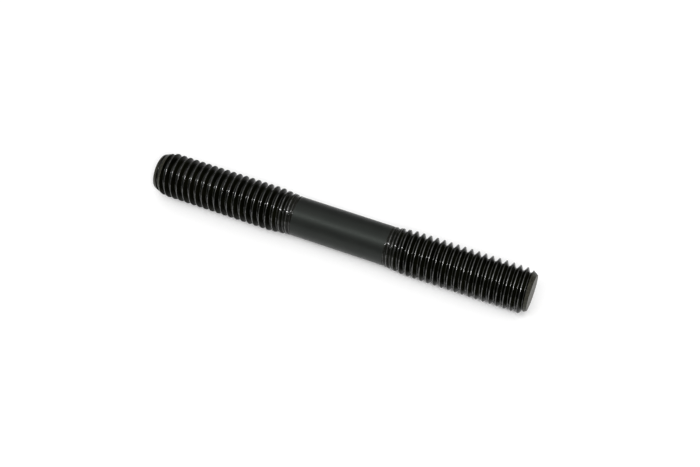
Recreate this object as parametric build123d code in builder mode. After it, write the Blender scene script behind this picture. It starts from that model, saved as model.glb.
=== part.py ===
from build123d import *
from math import ceil, radians, tan
import os

# Double ended stud: one rod with a rolled right-hand thread at each end and a
# plain shank between them. It lies along X, centred on the origin, and rests
# on its thread crests at z = 0. All sizes are in millimetres.

# Driving dimensions
overall_length = 110.4
thread_diameter = 12.55
threads_per_inch = 13
shank_diameter = 11.05
left_thread_length = 42.7
right_thread_length = 40.6
left_runout_length = 6.5
right_runout_length = 6.5
end_face_diameter = 10.0
left_chamfer_length = 3.1
right_chamfer_length = 2.0
left_ridge_shift = 1.317
right_ridge_shift = 1.214

# Thread form: a ridge with 60 degrees between its flanks and a flat crest
inch = 25.4
pitch = inch / threads_per_inch
half_thread_angle = 30.0
crest_width = pitch / 8
thread_depth = 0.6134 * pitch

thread_radius = thread_diameter / 2
root_radius = thread_radius - thread_depth
shank_radius = shank_diameter / 2
face_radius = end_face_diameter / 2
half_length = overall_length / 2
axis_height = max(thread_radius, shank_radius)

# The foot of the ridge is sunk a little below the root, so that the two join
ridge_foot_radius = root_radius - 0.05 * pitch
ridge_foot_width = crest_width + 2 * (thread_radius - ridge_foot_radius) * tan(
    radians(half_thread_angle)
)

with BuildPart() as ridge_turn:
    with BuildLine() as ridge_path:
        Helix(pitch, pitch, thread_radius)
    with BuildSketch(Plane.XZ):
        with BuildLine():
            Polyline(
                (ridge_foot_radius, -ridge_foot_width / 2),
                (ridge_foot_radius, ridge_foot_width / 2),
                (thread_radius, crest_width / 2),
                (thread_radius, -crest_width / 2),
                close=True,
            )
        make_face()
    sweep(path=ridge_path.line, is_frenet=True)


def threaded_end(thread_length, runout_length, ridge_shift):
    """One threaded end, its face at the origin and its run-out towards +Z."""
    turns = ceil(thread_length / pitch) + 3
    first = ridge_shift % pitch - 2 * pitch

    with BuildPart() as end:
        with BuildSketch(Plane.YZ):
            with Locations((root_radius / 2, first + turns * pitch / 2)):
                Rectangle(root_radius, turns * pitch)
        revolve(axis=Axis.Z)

        with Locations(*[(0, 0, first + turn * pitch) for turn in range(turns)]):
            add(ridge_turn.part)

        # Crests that stand above the shank taper down through its surface in the run-out
        if thread_radius > shank_radius:
            taper = (thread_radius - shank_radius) / runout_length
            taper_end = thread_length + (shank_radius - ridge_foot_radius) / taper + pitch
            with BuildSketch(Plane.YZ):
                with BuildLine():
                    Polyline(
                        (0, first - pitch),
                        (shank_radius + taper * (thread_length - first + pitch), first - pitch),
                        (shank_radius + taper * (thread_length - taper_end), taper_end),
                        (0, taper_end),
                        close=True,
                    )
                make_face()
            revolve(axis=Axis.Z, mode=Mode.INTERSECT)
    return end.part


left_end = threaded_end(left_thread_length, left_runout_length, left_ridge_shift)
right_end = threaded_end(right_thread_length, right_runout_length, right_ridge_shift)

stud_axis = Axis((0, 0, axis_height), (1, 0, 0))
side_plane = Plane(origin=(0, 0, axis_height), x_dir=(1, 0, 0), z_dir=(0, -1, 0))
left_place = Plane(origin=(-half_length, 0, axis_height), x_dir=(0, 1, 0), z_dir=(1, 0, 0))
right_place = Plane(origin=(half_length, 0, axis_height), x_dir=(0, 1, 0), z_dir=(-1, 0, 0))

with BuildPart() as stud:
    # Plain shank, with a cone into each thread, where the root rises to the shank
    shank_left = -half_length + left_thread_length
    shank_right = half_length - right_thread_length
    left_rise = (shank_radius - root_radius) / left_runout_length
    right_rise = (shank_radius - root_radius) / right_runout_length
    left_cone_start = shank_left - left_runout_length - pitch
    right_cone_start = shank_right + right_runout_length + pitch
    with BuildSketch(side_plane):
        with BuildLine():
            Polyline(
                (left_cone_start, 0),
                (left_cone_start, -root_radius + left_rise * pitch),
                (shank_left, -shank_radius),
                (shank_right, -shank_radius),
                (right_cone_start, -root_radius + right_rise * pitch),
                (right_cone_start, 0),
                close=True,
            )
        make_face()
    revolve(axis=stud_axis)

    with Locations(left_place):
        add(left_end)
    with Locations(right_place):
        add(right_end)

    # Flat end faces
    with Locations((0, 0, axis_height)):
        Box(overall_length, 2 * thread_diameter, 2 * thread_diameter, mode=Mode.INTERSECT)

    # Chamfers: a cone from each end, the two meeting well outside the rod
    chamfer_depth = thread_radius - face_radius
    left_slope = chamfer_depth / left_chamfer_length
    right_slope = chamfer_depth / right_chamfer_length
    left_reach = overall_length * right_slope / (left_slope + right_slope)
    with BuildSketch(side_plane):
        with BuildLine():
            Polyline(
                (-half_length - pitch, 0),
                (-half_length - pitch, -face_radius + left_slope * pitch),
                (-half_length + left_reach, -face_radius - left_slope * left_reach),
                (half_length + pitch, -face_radius + right_slope * pitch),
                (half_length + pitch, 0),
                close=True,
            )
        make_face()
    revolve(axis=stud_axis, mode=Mode.INTERSECT)

os.makedirs("parts", exist_ok=True)
stud.part.label = "stud"
export_step(stud.part, "parts/stud.step")
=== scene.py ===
import math

import bpy
from mathutils import Matrix, Vector


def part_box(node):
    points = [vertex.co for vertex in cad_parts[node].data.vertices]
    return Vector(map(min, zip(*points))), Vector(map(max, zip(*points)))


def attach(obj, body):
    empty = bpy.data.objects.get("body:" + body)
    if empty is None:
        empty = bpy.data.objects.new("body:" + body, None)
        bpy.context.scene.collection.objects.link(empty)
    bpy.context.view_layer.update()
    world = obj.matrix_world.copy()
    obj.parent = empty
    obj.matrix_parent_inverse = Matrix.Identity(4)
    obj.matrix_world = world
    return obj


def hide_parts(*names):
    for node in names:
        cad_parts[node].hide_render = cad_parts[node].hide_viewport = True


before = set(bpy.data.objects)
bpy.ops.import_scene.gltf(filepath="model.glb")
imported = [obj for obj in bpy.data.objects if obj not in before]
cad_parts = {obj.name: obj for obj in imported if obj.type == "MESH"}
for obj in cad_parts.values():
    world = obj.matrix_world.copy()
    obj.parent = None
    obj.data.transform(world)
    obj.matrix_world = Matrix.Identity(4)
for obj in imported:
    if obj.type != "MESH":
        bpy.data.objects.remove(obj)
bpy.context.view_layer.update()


# The stud. One rod of carbon steel with a thread rolled on each end. The dies press
# the roots down and squeeze the crests up, so the thread stands proud of the plain
# shank. The rod is then blackened in a hot oxide bath and dipped in oil.
inch = 0.0254
threads_per_inch = 13
pitch = inch / threads_per_inch
thread_depth = 0.6134 * pitch
lowest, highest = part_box("stud")
axis_height = (highest.z + lowest.z) / 2
# The skin stays this much inside the solid's box
margin = 0.000004
crest_radius = axis_height - margin
stud_sizes = {
    "Length": highest.x - lowest.x - margin,
    "Pitch": pitch,
    "Axis Height": axis_height,
    "Crest Radius": crest_radius,
    "Root Radius": crest_radius - thread_depth,
    "Shank Radius": 0.005525,
    "Crest Width": pitch / 8,
    "Left Thread": 0.0427,
    "Right Thread": 0.0406,
    "Left Run-out": 0.0065,
    "Right Run-out": 0.0065,
    "Left Start": 0.001317,
    "Right Start": 0.001214,
    "Face Radius": 0.005,
    "Left Chamfer": 0.0031,
    "Right Chamfer": 0.0020,
    "Crest Rounding": 0.00004,
    "Root Rounding": 0.0002,
    "Burnished Crest": 0.00008,
    "Burnished Root": 0.00004,
    "Rows per Pitch": 32,
    "Face Rows": 18,
    "Columns": 60,
}


def spread(nodes, links, noise, low, high):
    """A noise value, most of which lies between 0.3 and 0.7, spread from low to high."""
    ranged = nodes.new("ShaderNodeMapRange")
    ranged.inputs["From Min"].default_value = 0.3
    ranged.inputs["From Max"].default_value = 0.7
    ranged.inputs["To Min"].default_value = low
    ranged.inputs["To Max"].default_value = high
    links.new(noise, ranged.inputs["Value"])
    return ranged.outputs["Result"]


def oxide_grain_group():
    """The oxide's mottling: two tones and a roughness that follow its grain, and the grain."""
    group = bpy.data.node_groups.new("oxide_grain", "ShaderNodeTree")
    for label, kind, default in (
        ("Dark", "NodeSocketColor", (0.001, 0.001, 0.001, 1.0)),
        ("Light", "NodeSocketColor", (0.005, 0.005, 0.005, 1.0)),
        ("Fine Mottling", "NodeSocketFloat", 0.0),
        ("Roughness", "NodeSocketFloat", 0.4),
        ("Grain per Metre", "NodeSocketFloat", 2400.0),
        ("Along Stretch", "NodeSocketFloat", 1.0),
    ):
        socket = group.interface.new_socket(label, in_out="INPUT", socket_type=kind)
        socket.default_value = default
    for label, kind in (
        ("Colour", "NodeSocketColor"),
        ("Roughness", "NodeSocketFloat"),
        ("Grain", "NodeSocketFloat"),
    ):
        group.interface.new_socket(label, in_out="OUTPUT", socket_type=kind)
    nodes, links = group.nodes, group.links
    given = nodes.new("NodeGroupInput").outputs
    result = nodes.new("NodeGroupOutput").inputs

    # Fine grains, and clouds a few millimetres across
    place = nodes.new("ShaderNodeTexCoord")
    stretch = nodes.new("ShaderNodeCombineXYZ")
    stretch.inputs["Y"].default_value = 1.0
    stretch.inputs["Z"].default_value = 1.0
    links.new(given["Along Stretch"], stretch.inputs["X"])
    stretched = nodes.new("ShaderNodeVectorMath")
    stretched.operation = "MULTIPLY"
    links.new(place.outputs["Object"], stretched.inputs[0])
    links.new(stretch.outputs["Vector"], stretched.inputs[1])
    grain = nodes.new("ShaderNodeTexNoise")
    grain.inputs["Detail"].default_value = 4.0
    grain.inputs["Roughness"].default_value = 0.65
    links.new(stretched.outputs["Vector"], grain.inputs["Vector"])
    links.new(given["Grain per Metre"], grain.inputs["Scale"])
    cloud = nodes.new("ShaderNodeTexNoise")
    cloud.inputs["Scale"].default_value = 260.0
    cloud.inputs["Detail"].default_value = 3.0
    links.new(stretched.outputs["Vector"], cloud.inputs["Vector"])

    mottling = nodes.new("ShaderNodeMix")
    links.new(given["Fine Mottling"], mottling.inputs["Factor"])
    links.new(cloud.outputs["Fac"], mottling.inputs["A"])
    links.new(grain.outputs["Fac"], mottling.inputs["B"])
    tones = nodes.new("ShaderNodeMix")
    tones.data_type = "RGBA"
    links.new(spread(nodes, links, mottling.outputs["Result"], 0.0, 1.0), tones.inputs["Factor"])
    links.new(given["Dark"], tones.inputs["A"])
    links.new(given["Light"], tones.inputs["B"])
    links.new(tones.outputs["Result"], result["Colour"])
    swing = 0.05
    rough = nodes.new("ShaderNodeMath")
    rough.operation = "ADD"
    links.new(given["Roughness"], rough.inputs[0])
    links.new(spread(nodes, links, grain.outputs["Fac"], -swing, swing), rough.inputs[1])
    links.new(rough.outputs["Value"], result["Roughness"])
    links.new(grain.outputs["Fac"], result["Grain"])
    return group


oxide_grain = oxide_grain_group()


def black_oxide(
    name, dark, light, roughness, shine, grain_per_metre, bump_depth, stretch=1.0, fine_mottling=0.0
):
    """Blackened steel: two tones mottled together, with a faint green cast in the shine."""
    material = bpy.data.materials.new(name)
    material.use_nodes = True
    nodes, links = material.node_tree.nodes, material.node_tree.links
    shader = nodes["Principled BSDF"]
    oxide = nodes.new("ShaderNodeGroup")
    oxide.node_tree = oxide_grain
    oxide.inputs["Dark"].default_value = (*dark, 1.0)
    oxide.inputs["Light"].default_value = (*light, 1.0)
    oxide.inputs["Fine Mottling"].default_value = fine_mottling
    oxide.inputs["Roughness"].default_value = roughness
    oxide.inputs["Grain per Metre"].default_value = grain_per_metre
    oxide.inputs["Along Stretch"].default_value = stretch
    links.new(oxide.outputs["Colour"], shader.inputs["Base Color"])
    links.new(oxide.outputs["Roughness"], shader.inputs["Roughness"])
    bump = nodes.new("ShaderNodeBump")
    bump.inputs["Strength"].default_value = 1.0
    bump.inputs["Distance"].default_value = bump_depth
    links.new(oxide.outputs["Grain"], bump.inputs["Height"])
    links.new(bump.outputs["Normal"], shader.inputs["Normal"])
    shader.inputs["Specular IOR Level"].default_value = shine
    shader.inputs["Specular Tint"].default_value = (0.90, 1.0, 0.93, 1.0)
    return material


# The flanks of the thread are dull, and an oily gleam runs along its crests and roots
thread_steel = black_oxide(
    "thread_steel",
    dark=(0.0006, 0.0007, 0.0002),
    light=(0.0034, 0.0036, 0.0014),
    roughness=0.34,
    shine=0.03,
    grain_per_metre=2400.0,
    bump_depth=0.000008,
)
shank_steel = black_oxide(
    "shank_steel",
    dark=(0.0030, 0.0034, 0.0030),
    light=(0.0060, 0.0064, 0.0056),
    roughness=0.42,
    shine=0.30,
    grain_per_metre=3200.0,
    bump_depth=0.000006,
    stretch=0.6,
)
# The chamfers and the cut end faces are greyer, with their mottling finer than the thread's
chamfer_steel = black_oxide(
    "chamfer_steel",
    dark=(0.001, 0.001, 0.0006),
    light=(0.040, 0.036, 0.025),
    roughness=0.42,
    shine=0.25,
    grain_per_metre=1500.0,
    bump_depth=0.00002,
    fine_mottling=1.0,
)
cut_steel = black_oxide(
    "cut_steel",
    dark=(0.045, 0.041, 0.036),
    light=(0.150, 0.140, 0.125),
    roughness=0.55,
    shine=0.3,
    grain_per_metre=1400.0,
    bump_depth=0.00003,
    fine_mottling=1.0,
)


def oil_where_burnished(material, patches_per_metre, thinnest, thickest, rim_power):
    """A patchy film of oil where the dies pressed smooth, and a gleam at grazing angles."""
    nodes, links = material.node_tree.nodes, material.node_tree.links
    shader = nodes["Principled BSDF"]
    pressed = nodes.new("ShaderNodeAttribute")
    pressed.attribute_name = "burnished"
    patches = nodes.new("ShaderNodeGroup")
    patches.node_tree = oxide_grain
    patches.inputs["Grain per Metre"].default_value = patches_per_metre
    film = nodes.new("ShaderNodeMath")
    film.operation = "MULTIPLY"
    links.new(pressed.outputs["Fac"], film.inputs[0])
    links.new(spread(nodes, links, patches.outputs["Grain"], thinnest, thickest), film.inputs[1])
    turning_away = nodes.new("ShaderNodeLayerWeight")
    turning_away.inputs["Blend"].default_value = 0.5
    rim = nodes.new("ShaderNodeMath")
    rim.operation = "POWER"
    rim.inputs[1].default_value = rim_power
    links.new(turning_away.outputs["Facing"], rim.inputs[0])
    oily = nodes.new("ShaderNodeMath")
    oily.operation = "MAXIMUM"
    links.new(film.outputs["Value"], oily.inputs[0])
    links.new(rim.outputs["Value"], oily.inputs[1])
    links.new(oily.outputs["Value"], shader.inputs["Coat Weight"])
    shader.inputs["Coat Roughness"].default_value = 0.12
    shader.inputs["Coat IOR"].default_value = 2.1


oil_where_burnished(
    thread_steel, patches_per_metre=1700.0, thinnest=0.35, thickest=1.3, rim_power=7.0
)


class Sums:
    """Writes a node tree's arithmetic as plain calls."""

    def __init__(self, tree):
        self.tree = tree

    def math(self, operation, *terms):
        node = self.tree.nodes.new("ShaderNodeMath")
        node.operation = operation
        for slot, term in zip(node.inputs, terms):
            if isinstance(term, (int, float)):
                slot.default_value = term
            else:
                self.tree.links.new(term, slot)
        return node.outputs[0]

    def add(self, a, b):
        return self.math("ADD", a, b)

    def minus(self, a, b):
        return self.math("SUBTRACT", a, b)

    def times(self, a, b):
        return self.math("MULTIPLY", a, b)

    def over(self, a, b):
        return self.math("DIVIDE", a, b)

    def least(self, a, b):
        return self.math("MINIMUM", a, b)

    def most(self, a, b):
        return self.math("MAXIMUM", a, b)

    def within(self, low, a, high):
        """The value a, held between low and high."""
        return self.most(low, self.least(a, high))

    def whole(self, a):
        return self.math("FLOOR", a)

    def above(self, a, b):
        """1 where a is above b, 0 elsewhere."""
        return self.math("GREATER_THAN", a, b)

    def below(self, a, b):
        """1 where a is below b, 0 elsewhere."""
        return self.math("LESS_THAN", a, b)

    def choose(self, when, yes, no):
        """yes where the value when is 1, no where it is 0."""
        return self.add(self.times(when, yes), self.times(self.minus(1.0, when), no))


def threaded_end(sums, size, side, from_face, from_start, turn):
    """One end at a distance from its face: its radius, where it is threaded, where burnished."""
    half_thread_angle = math.radians(30.0)
    runout_gleam = 0.16

    # A flank rises to each crest, which returns once in a pitch
    phase = sums.minus(sums.over(from_start, size["Pitch"]), turn)
    off_crest = sums.math("ABSOLUTE", sums.minus(phase, sums.math("ROUND", phase)))
    off_crest = sums.times(off_crest, size["Pitch"])
    off_flat = sums.minus(sums.times(size["Crest Width"], 0.5), off_crest)
    flank = sums.add(size["Crest Radius"], sums.over(off_flat, math.tan(half_thread_angle)))

    # Over the run-out, the crest falls to the shank and the root rises to it
    thread_left = sums.minus(size[side + " Thread"], from_face)
    share = sums.over(thread_left, size[side + " Run-out"])
    crest_rise = sums.times(share, sums.minus(size["Crest Radius"], size["Shank Radius"]))
    crest_line = sums.least(size["Crest Radius"], sums.add(size["Shank Radius"], crest_rise))
    root_fall = sums.times(share, sums.minus(size["Shank Radius"], size["Root Radius"]))
    root_line = sums.most(size["Root Radius"], sums.minus(size["Shank Radius"], root_fall))
    root_line = sums.least(root_line, size["Shank Radius"])
    ridge = sums.math("SMOOTH_MIN", crest_line, flank, size["Crest Rounding"])
    ridge = sums.math("SMOOTH_MAX", root_line, ridge, size["Root Rounding"])
    ridge = sums.least(ridge, crest_line)
    threaded = sums.above(thread_left, 0.0)
    radius = sums.choose(threaded, ridge, size["Shank Radius"])

    on_crest = sums.below(off_crest, size["Burnished Crest"])
    off_root = sums.minus(sums.times(size["Pitch"], 0.5), off_crest)
    in_root = sums.below(off_root, size["Burnished Root"])
    faded = sums.minus(1.0, sums.within(0.0, share, 1.0))
    burnished = sums.most(sums.add(on_crest, in_root), sums.times(faded, runout_gleam))
    return radius, threaded, burnished


def stud_tree():
    """Geometry nodes for the stud's skin: one sheet wound round it along the thread's helix."""
    tree = bpy.data.node_groups.new("threaded_rod", "GeometryNodeTree")
    tree.interface.new_socket("Geometry", in_out="INPUT", socket_type="NodeSocketGeometry")
    for label, value in stud_sizes.items():
        kind = "NodeSocketInt" if isinstance(value, int) else "NodeSocketFloat"
        tree.interface.new_socket(label, in_out="INPUT", socket_type=kind)
    for label in ("Thread Material", "Shank Material", "Chamfer Material", "Face Material"):
        tree.interface.new_socket(label, in_out="INPUT", socket_type="NodeSocketMaterial")
    tree.interface.new_socket("Geometry", in_out="OUTPUT", socket_type="NodeSocketGeometry")
    nodes, links = tree.nodes, tree.links
    size = nodes.new("NodeGroupInput").outputs
    sums = Sums(tree)

    # The sheet's rows go from the middle of one face to the middle of the other. Each
    # climbs a pitch on its way round, so the sheet goes on for a little more than a turn
    # past each face. On the plain shank, which needs few, they lie four times as far apart
    shank_step = 4.0
    slant_turns = 1.2
    left_turns = sums.add(sums.over(size["Left Thread"], size["Pitch"]), 1.0)
    right_turns = sums.add(sums.over(size["Right Thread"], size["Pitch"]), 1.0)
    all_turns = sums.over(size["Length"], size["Pitch"])
    plain_turns = sums.minus(sums.minus(all_turns, left_turns), right_turns)
    plain_rows = sums.over(plain_turns, shank_step)
    face_turns = sums.add(sums.over(size["Face Rows"], size["Rows per Pitch"]), slant_turns)
    turns = sums.add(sums.add(left_turns, right_turns), plain_rows)
    turns = sums.add(turns, sums.times(face_turns, 2.0))
    rows = sums.add(sums.math("CEIL", sums.times(turns, size["Rows per Pitch"])), 1.0)
    columns = sums.add(size["Columns"], 1.0)
    sheet = nodes.new("GeometryNodeMeshGrid")
    links.new(rows, sheet.inputs["Vertices X"])
    links.new(columns, sheet.inputs["Vertices Y"])

    # Each point's turn round the rod, and its distance along it
    index = nodes.new("GeometryNodeInputIndex").outputs["Index"]
    row = sums.whole(sums.over(sums.add(index, 0.5), columns))
    column = sums.minus(index, sums.times(row, columns))
    turn = sums.over(column, size["Columns"])
    advance = sums.minus(sums.add(sums.over(row, size["Rows per Pitch"]), turn), face_turns)
    in_shank = sums.within(0.0, sums.minus(advance, left_turns), plain_rows)
    advance = sums.add(advance, sums.times(in_shank, shank_step - 1.0))
    unbounded = sums.times(advance, size["Pitch"])
    along = sums.within(0.0, unbounded, size["Length"])
    from_right = sums.minus(size["Length"], along)

    left_start = sums.minus(along, size["Left Start"])
    right_start = sums.minus(size["Right Start"], from_right)
    left = threaded_end(sums, size, "Left", along, left_start, turn)
    right = threaded_end(sums, size, "Right", from_right, right_start, turn)
    in_left_half = sums.below(along, sums.times(size["Length"], 0.5))
    radius, threaded, burnished = [
        sums.choose(in_left_half, here, there) for here, there in zip(left, right)
    ]

    # Chamfers turn both ends down
    fall = sums.minus(size["Crest Radius"], size["Face Radius"])
    left_cone = sums.times(sums.over(fall, size["Left Chamfer"]), along)
    right_cone = sums.times(sums.over(fall, size["Right Chamfer"]), from_right)
    cone = sums.add(size["Face Radius"], sums.least(left_cone, right_cone))
    turned = sums.above(radius, cone)
    burnished = sums.times(burnished, sums.minus(1.0, turned))
    radius = sums.least(radius, cone)

    # The first row past a face lies on its rim, and those after it close in on its middle
    closing_power = 1.6
    past = sums.math("ABSOLUTE", sums.minus(unbounded, along))
    rows_past = sums.whole(sums.over(sums.times(past, size["Rows per Pitch"]), size["Pitch"]))
    closed_share = sums.least(1.0, sums.over(rows_past, size["Face Rows"]))
    radius = sums.times(radius, sums.minus(1.0, sums.math("POWER", closed_share, closing_power)))
    on_face = sums.above(rows_past, 0.5)

    angle = sums.times(turn, 2.0 * math.pi)
    height = sums.add(size["Axis Height"], sums.times(radius, sums.math("SINE", angle)))
    place = nodes.new("ShaderNodeCombineXYZ")
    links.new(sums.minus(along, sums.times(size["Length"], 0.5)), place.inputs["X"])
    links.new(sums.times(radius, sums.math("COSINE", angle)), place.inputs["Y"])
    links.new(height, place.inputs["Z"])

    marks = {"threaded": threaded, "on_face": on_face, "burnished": burnished, "turned": turned}
    marked = sheet.outputs["Mesh"]
    for label, value in marks.items():
        keep = nodes.new("GeometryNodeStoreNamedAttribute")
        keep.data_type = "FLOAT"
        keep.domain = "POINT"
        keep.inputs["Name"].default_value = label
        links.new(marked, keep.inputs["Geometry"])
        links.new(value, keep.inputs["Value"])
        marked = keep.outputs["Geometry"]
    moved = nodes.new("GeometryNodeSetPosition")
    links.new(marked, moved.inputs["Geometry"])
    links.new(place.outputs["Vector"], moved.inputs["Position"])
    # Points that fall on one place are merged, which closes the skin
    closed = nodes.new("GeometryNodeMergeByDistance")
    closed.inputs["Distance"].default_value = 0.000001
    links.new(moved.outputs["Geometry"], closed.inputs["Geometry"])
    split = nodes.new("GeometryNodeTriangulate")
    links.new(closed.outputs["Geometry"], split.inputs["Mesh"])
    # The sheet comes out wound inside out, so its faces are turned to point outwards
    outward = nodes.new("GeometryNodeFlipFaces")
    links.new(split.outputs["Mesh"], outward.inputs["Mesh"])
    smooth = nodes.new("GeometryNodeSetShadeSmooth")
    links.new(outward.outputs["Mesh"], smooth.inputs["Geometry"])
    whole = nodes.new("GeometryNodeRealizeInstances")
    links.new(smooth.outputs["Geometry"], whole.inputs["Geometry"])

    # The shank's steel goes on everywhere, then each of the others where its mark is
    finish = whole.outputs["Geometry"]
    for label, mark in (
        ("Shank Material", None),
        ("Thread Material", "threaded"),
        ("Chamfer Material", "turned"),
        ("Face Material", "on_face"),
    ):
        steel = nodes.new("GeometryNodeSetMaterial")
        links.new(finish, steel.inputs["Geometry"])
        links.new(size[label], steel.inputs["Material"])
        if mark is not None:
            read = nodes.new("GeometryNodeInputNamedAttribute")
            read.data_type = "FLOAT"
            read.inputs["Name"].default_value = mark
            links.new(sums.above(read.outputs["Attribute"], 0.5), steel.inputs["Selection"])
        finish = steel.outputs["Geometry"]
    result = nodes.new("NodeGroupOutput")
    links.new(finish, result.inputs["Geometry"])
    return tree


def make_stud():
    """Runs the tree once with the stud's sizes and keeps its result as a plain mesh."""
    tree = stud_tree()
    carrier = bpy.data.objects.new("stud_carrier", bpy.data.meshes.new("stud_carrier"))
    bpy.context.scene.collection.objects.link(carrier)
    rule = carrier.modifiers.new("rod", "NODES")
    rule.node_group = tree
    sockets = {
        item.name: item.identifier
        for item in tree.interface.items_tree
        if item.item_type == "SOCKET" and item.in_out == "INPUT"
    }
    for label, value in stud_sizes.items():
        rule[sockets[label]] = value
    rule[sockets["Thread Material"]] = thread_steel
    rule[sockets["Shank Material"]] = shank_steel
    rule[sockets["Chamfer Material"]] = chamfer_steel
    rule[sockets["Face Material"]] = cut_steel
    evaluated = carrier.evaluated_get(bpy.context.evaluated_depsgraph_get())
    skin = bpy.data.meshes.new_from_object(evaluated)
    bpy.data.objects.remove(carrier)
    skin.name = "blackened_stud"
    piece = bpy.data.objects.new("blackened_stud", skin)
    bpy.context.scene.collection.objects.link(piece)
    return piece


stud = make_stud()
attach(stud, "root")
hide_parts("stud")


# The table. A matt white board that the stud lies on and that takes its shadow.
# It is small, so that low views look past its far edge into the white room.
def seen_by_eye_or_mirror(nodes, links):
    """1 for camera, glossy and transmitted rays, 0 for the rays that light the stud."""
    path = nodes.new("ShaderNodeLightPath")
    seen = path.outputs["Is Camera Ray"]
    for label in ("Is Glossy Ray", "Is Transmission Ray"):
        more = nodes.new("ShaderNodeMath")
        more.operation = "MAXIMUM"
        links.new(seen, more.inputs[0])
        links.new(path.outputs[label], more.inputs[1])
        seen = more.outputs["Value"]
    return seen


white = (1.0, 1.0, 1.0, 1.0)
table_white = (0.8, 0.8, 0.8, 1.0)
table_reach = 0.36
floor_material = bpy.data.materials.new("white_table")
floor_material.use_nodes = True
floor_nodes, floor_links = floor_material.node_tree.nodes, floor_material.node_tree.links
floor_shader = floor_nodes["Principled BSDF"]
floor_shader.inputs["Roughness"].default_value = 0.9
floor_shader.inputs["Specular IOR Level"].default_value = 0.0
floor_colour = floor_nodes.new("ShaderNodeMix")
floor_colour.data_type = "RGBA"
floor_colour.inputs["A"].default_value = table_white
floor_colour.inputs["B"].default_value = white
floor_seen = seen_by_eye_or_mirror(floor_nodes, floor_links)
floor_links.new(floor_seen, floor_colour.inputs["Factor"])
floor_links.new(floor_colour.outputs["Result"], floor_shader.inputs["Base Color"])
floor_mesh = bpy.data.meshes.new("floor")
floor_mesh.from_pydata(
    [
        (-table_reach, -table_reach, 0.0),
        (table_reach, -table_reach, 0.0),
        (table_reach, table_reach, 0.0),
        (-table_reach, table_reach, 0.0),
    ],
    [],
    [(0, 1, 2, 3)],
)
floor_mesh.materials.append(floor_material)
floor = bpy.data.objects.new("floor", floor_mesh)
bpy.context.scene.collection.objects.link(floor)


# The room. An evenly lit white studio: the camera sees it plain white, and in the
# steel its walls mirror dimmer than its ceiling, which gives the stud its modelling.
room_light = 0.54
walls_mirrored = 0.35
# How high a mirrored ray points, from 0 for level to 1 for straight up
walls_end_at = 0.6
ceiling_starts_at = 0.95
studio = bpy.data.worlds.new("studio")
studio.use_nodes = True
bpy.context.scene.world = studio
room_nodes, room_links = studio.node_tree.nodes, studio.node_tree.links
looking = room_nodes.new("ShaderNodeTexCoord")
parts = room_nodes.new("ShaderNodeSeparateXYZ")
room_links.new(looking.outputs["Generated"], parts.inputs["Vector"])
mirrored = room_nodes.new("ShaderNodeMapRange")
mirrored.interpolation_type = "SMOOTHSTEP"
mirrored.inputs["From Min"].default_value = walls_end_at
mirrored.inputs["From Max"].default_value = ceiling_starts_at
mirrored.inputs["To Min"].default_value = walls_mirrored
mirrored.inputs["To Max"].default_value = 1.0
room_links.new(parts.outputs["Z"], mirrored.inputs["Value"])
path = room_nodes.new("ShaderNodeLightPath")
plain_white_seen = room_nodes.new("ShaderNodeMath")
plain_white_seen.operation = "MAXIMUM"
room_links.new(mirrored.outputs["Result"], plain_white_seen.inputs[0])
room_links.new(path.outputs["Is Camera Ray"], plain_white_seen.inputs[1])
room_seen = room_nodes.new("ShaderNodeBackground")
room_seen.inputs["Color"].default_value = white
room_links.new(plain_white_seen.outputs["Value"], room_seen.inputs["Strength"])
room_lighting = room_nodes["Background"]
room_lighting.inputs["Color"].default_value = white
room_lighting.inputs["Strength"].default_value = room_light
room = room_nodes.new("ShaderNodeMixShader")
room_links.new(seen_by_eye_or_mirror(room_nodes, room_links), room.inputs["Fac"])
room_links.new(room_lighting.outputs["Background"], room.inputs[1])
room_links.new(room_seen.outputs["Background"], room.inputs[2])
room_links.new(room.outputs["Shader"], room_nodes["World Output"].inputs["Surface"])


# The camera. The photo looks down on the stud from in front, with its right
# end a little nearer, and the stud's axis falls to the right across the frame.
photo_width = 700.0
sensor_width = 36.0
focal_length = 63.7714
focal_pixels = focal_length / sensor_width * photo_width
axis_in_picture = math.radians(18.2)
axis_towards_camera = math.radians(14.423)
middle_in_picture = (339.43, 229.80)
picture_centre = (350.0, 233.5)
distance = 0.33994

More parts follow.
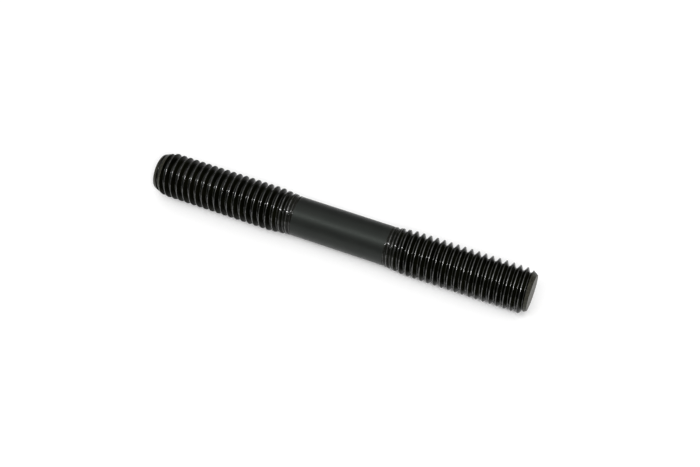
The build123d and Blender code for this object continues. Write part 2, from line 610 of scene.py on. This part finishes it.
axis = Vector(
    (
        math.cos(axis_towards_camera) * math.cos(axis_in_picture),
        -math.cos(axis_towards_camera) * math.sin(axis_in_picture),
        math.sin(axis_towards_camera),
    )
)
looking_down = math.atan2(-axis.y, axis.z)
up = Vector((0.0, math.cos(looking_down), math.sin(looking_down)))
across = up.cross(axis)
to_world = Matrix((axis, across, up))
middle = Vector(
    (
        (middle_in_picture[0] - picture_centre[0]) / focal_pixels * distance,
        -(middle_in_picture[1] - picture_centre[1]) / focal_pixels * distance,
        -distance,
    )
)
eye = Vector((0.0, 0.0, axis_height)) - to_world @ middle
camera_data = bpy.data.cameras.new("camera")
camera_data.sensor_width = sensor_width
camera_data.lens = focal_length
camera_data.clip_start = 0.01
camera_data.clip_end = 20.0
camera = bpy.data.objects.new("camera", camera_data)
camera.matrix_world = Matrix.Translation(eye) @ to_world.to_4x4()
bpy.context.scene.collection.objects.link(camera)
bpy.context.scene.camera = camera


# The lamps. A broad one overhead and a smaller, stronger one in front, both on the right,
# light the stud. A thin strip along it, as far left as the camera is right, puts the row
# of bright points on its crests.
lamp_reach = 1.0


def soft_lamp(name, height_angle, lean, length, width, power):
    """An oval lamp aimed at the stud, at a height angle from the front and a lean along it."""
    lamp = bpy.data.lights.new(name, "AREA")
    lamp.shape = "ELLIPSE"
    lamp.size = length
    lamp.size_y = width
    lamp.energy = power
    back = Vector(
        (
            math.sin(lean),
            -math.cos(lean) * math.cos(height_angle),
            math.cos(lean) * math.sin(height_angle),
        )
    )
    stand = bpy.data.objects.new(name, lamp)
    stand.location = back * lamp_reach
    stand.rotation_mode = "QUATERNION"
    stand.rotation_quaternion = (-back).to_track_quat("-Z", "Y")
    bpy.context.scene.collection.objects.link(stand)


soft_lamp(
    "overhead",
    height_angle=math.radians(71.0),
    lean=math.radians(10.0),
    length=0.6,
    width=0.6,
    power=1.7,
)
soft_lamp(
    "key",
    height_angle=math.radians(51.5),
    lean=math.radians(24.0),
    length=0.28,
    width=0.28,
    power=4.7,
)
soft_lamp(
    "spark",
    height_angle=math.radians(61.5),
    lean=-axis_towards_camera,
    length=0.62,
    width=0.04,
    power=1.9,
)

bpy.context.scene.view_settings.view_transform = "Standard"
